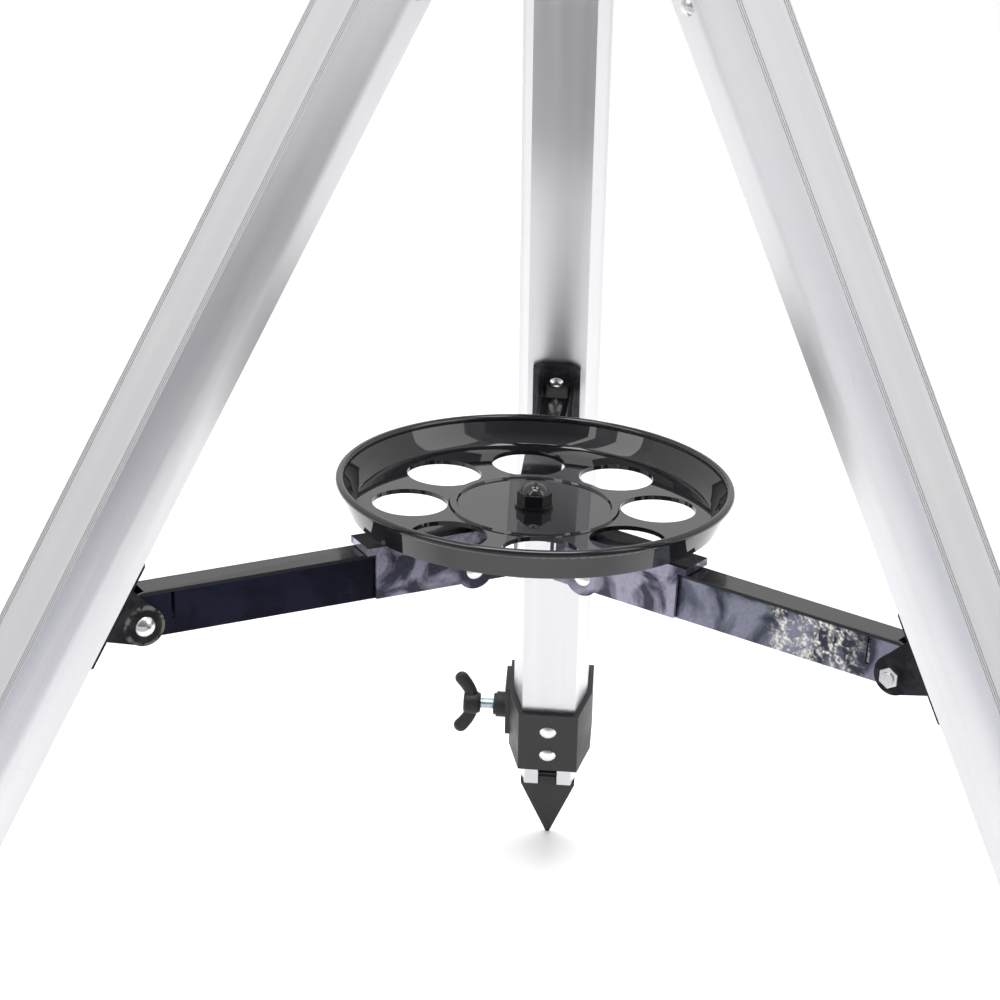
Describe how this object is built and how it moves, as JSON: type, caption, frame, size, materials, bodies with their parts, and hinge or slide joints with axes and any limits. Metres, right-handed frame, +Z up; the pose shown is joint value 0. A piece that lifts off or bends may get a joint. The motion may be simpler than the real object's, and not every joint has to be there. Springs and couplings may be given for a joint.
{
  "type": "telescope tripod",
  "caption": "Folding telescope tripod with telescoping aluminium legs, clamp collars, a spreader with a round accessory tray, and a head with a central mounting stud.",
  "frame": {"origin": "on the floor, on the tripod axis, level with the ends of the three tips, legs retracted and spread", "axes": "+Z up along the tripod axis; the back leg stands towards +Y, the left and right legs at 210 and 330 degrees"},
  "size_m": [0.6576, 0.5968, 0.6542],
  "materials": {
    "leg_aluminium": "satin silver anodised extrusion",
    "black_plastic": "matt black moulded nylon",
    "tip_rubber": "hard black rubber",
    "gloss_paint": "gloss black paint on sheet steel",
    "tray_gloss": "gloss black",
    "cast_paint": "satin black paint on a casting",
    "bright_steel": "bright plated steel",
    "zinc_steel": "blue zinc plated steel"
  },
  "bodies": {
    "head": {"head_casting": "cast_paint", "hinge_bolt_back": "bright_steel", "hinge_bolt_left": "bright_steel", "hinge_bolt_right": "bright_steel"},
    "mount_bolt": {"mount_stud": "zinc_steel", "mount_knob": "black_plastic", "mount_washer": "zinc_steel"},
    "leg_back": {"outer_leg_back": "leg_aluminium", "leg_top_back": "black_plastic", "leg_top_rivets_back": "bright_steel", "clamp_collar_back": "black_plastic", "collar_rivets_back": "bright_steel", "brace_bracket_back": "gloss_paint", "bracket_rivets_back": "bright_steel", "brace_bolt_back": "bright_steel"},
    "extension_back": {"inner_leg_back": "leg_aluminium", "foot_tip_back": "tip_rubber"},
    "wing_screw_back": {"wing_thread_back": "zinc_steel", "wing_grip_back": "black_plastic"},
    "arm_back": {"spreader_arm_back": "gloss_paint"},
    "leg_left": {"outer_leg_left": "leg_aluminium", "leg_top_left": "black_plastic", "leg_top_rivets_left": "bright_steel", "clamp_collar_left": "black_plastic", "collar_rivets_left": "bright_steel", "brace_bracket_left": "gloss_paint", "bracket_rivets_left": "bright_steel", "brace_bolt_left": "bright_steel"},
    "extension_left": {"inner_leg_left": "leg_aluminium", "foot_tip_left": "tip_rubber"},
    "wing_screw_left": {"wing_thread_left": "zinc_steel", "wing_grip_left": "black_plastic"},
    "arm_left": {"spreader_arm_left": "gloss_paint"},
    "leg_right": {"outer_leg_right": "leg_aluminium", "leg_top_right": "black_plastic", "leg_top_rivets_right": "bright_steel", "clamp_collar_right": "black_plastic", "collar_rivets_right": "bright_steel", "brace_bracket_right": "gloss_paint", "bracket_rivets_right": "bright_steel", "brace_bolt_right": "bright_steel"},
    "extension_right": {"inner_leg_right": "leg_aluminium", "foot_tip_right": "tip_rubber"},
    "wing_screw_right": {"wing_thread_right": "zinc_steel", "wing_grip_right": "black_plastic"},
    "arm_right": {"spreader_arm_right": "gloss_paint"},
    "spreader": {"spreader_hub": "gloss_paint", "hub_pins": "bright_steel", "tray": "tray_gloss", "tray_stud": "zinc_steel", "tray_washer": "bright_steel"},
    "tray_nut": {"tray_nut": "tray_gloss"}
  },
  "joints": [
    {"name": "mount_knob_turn", "type": "hinge", "parent": "head", "child": "mount_bolt", "pos_m": [0, 0, 0.60824], "axis": [0, 0, 1], "continuous": true},
    {"name": "leg_fold_back", "type": "hinge", "parent": "head", "child": "leg_back", "pos_m": [0, 0.05, 0.61824], "axis": [-1, 0, 0], "range_deg": [0, 9]},
    {"name": "arm_fold_back", "type": "hinge", "parent": "leg_back", "child": "arm_back", "pos_m": [0, 0.18005, 0.30571], "axis": [-1, 0, 0], "range_deg": [0, 37.88]},
    {"name": "leg_extend_back", "type": "slide", "parent": "leg_back", "child": "extension_back", "axis": [0, 0.4695, -0.8829], "range_m": [0, 0.42]},
    {"name": "wing_screw_turn_back", "type": "hinge", "parent": "leg_back", "child": "wing_screw_back", "pos_m": [-0.03, 0.33877, 0.09111], "axis": [-1, 0, 0], "continuous": true},
    {"name": "leg_fold_left", "type": "hinge", "parent": "head", "child": "leg_left", "pos_m": [-0.0433, -0.025, 0.61824], "axis": [0.5, -0.866, 0], "range_deg": [0, 9.01]},
    {"name": "arm_fold_left", "type": "hinge", "parent": "leg_left", "child": "arm_left", "pos_m": [-0.15592, -0.09002, 0.30571], "axis": [0.5, -0.866, 0], "range_deg": [0, 37.88]},
    {"name": "leg_extend_left", "type": "slide", "parent": "leg_left", "child": "extension_left", "axis": [-0.4066, -0.2347, -0.8829], "range_m": [0, 0.42]},
    {"name": "wing_screw_turn_left", "type": "hinge", "parent": "leg_left", "child": "wing_screw_left", "pos_m": [-0.27839, -0.19537, 0.09111], "axis": [0.5, -0.866, 0], "continuous": true},
    {"name": "leg_fold_right", "type": "hinge", "parent": "head", "child": "leg_right", "pos_m": [0.0433, -0.025, 0.61824], "axis": [0.5, 0.866, 0], "range_deg": [0, 9.01]},
    {"name": "arm_fold_right", "type": "hinge", "parent": "leg_right", "child": "arm_right", "pos_m": [0.15592, -0.09002, 0.30571], "axis": [0.5, 0.866, 0], "range_deg": [0, 37.88]},
    {"name": "leg_extend_right", "type": "slide", "parent": "leg_right", "child": "extension_right", "axis": [0.4066, -0.2347, -0.8829], "range_m": [0, 0.42]},
    {"name": "wing_screw_turn_right", "type": "hinge", "parent": "leg_right", "child": "wing_screw_right", "pos_m": [0.30839, -0.14341, 0.09111], "axis": [0.5, 0.866, 0], "continuous": true},
    {"name": "hub_rise", "type": "slide", "parent": "head", "child": "spreader", "axis": [0, 0, 1], "range_m": [0, 0.0908]},
    {"name": "tray_nut_turn", "type": "hinge", "parent": "spreader", "child": "tray_nut", "pos_m": [0, 0, 0.33537], "axis": [0, 0, 1], "continuous": true}
  ],
  "couplings": [
    {"joint": "arm_fold_back", "follows": "leg_fold_back", "ratio": 4.2033},
    {"joint": "leg_fold_left", "follows": "leg_fold_back", "ratio": 1},
    {"joint": "arm_fold_left", "follows": "leg_fold_back", "ratio": 4.2033},
    {"joint": "leg_fold_right", "follows": "leg_fold_back", "ratio": 1},
    {"joint": "arm_fold_right", "follows": "leg_fold_back", "ratio": 4.2033},
    {"joint": "hub_rise", "follows": "leg_fold_back", "m_per_rad": 0.57761}
  ]
}
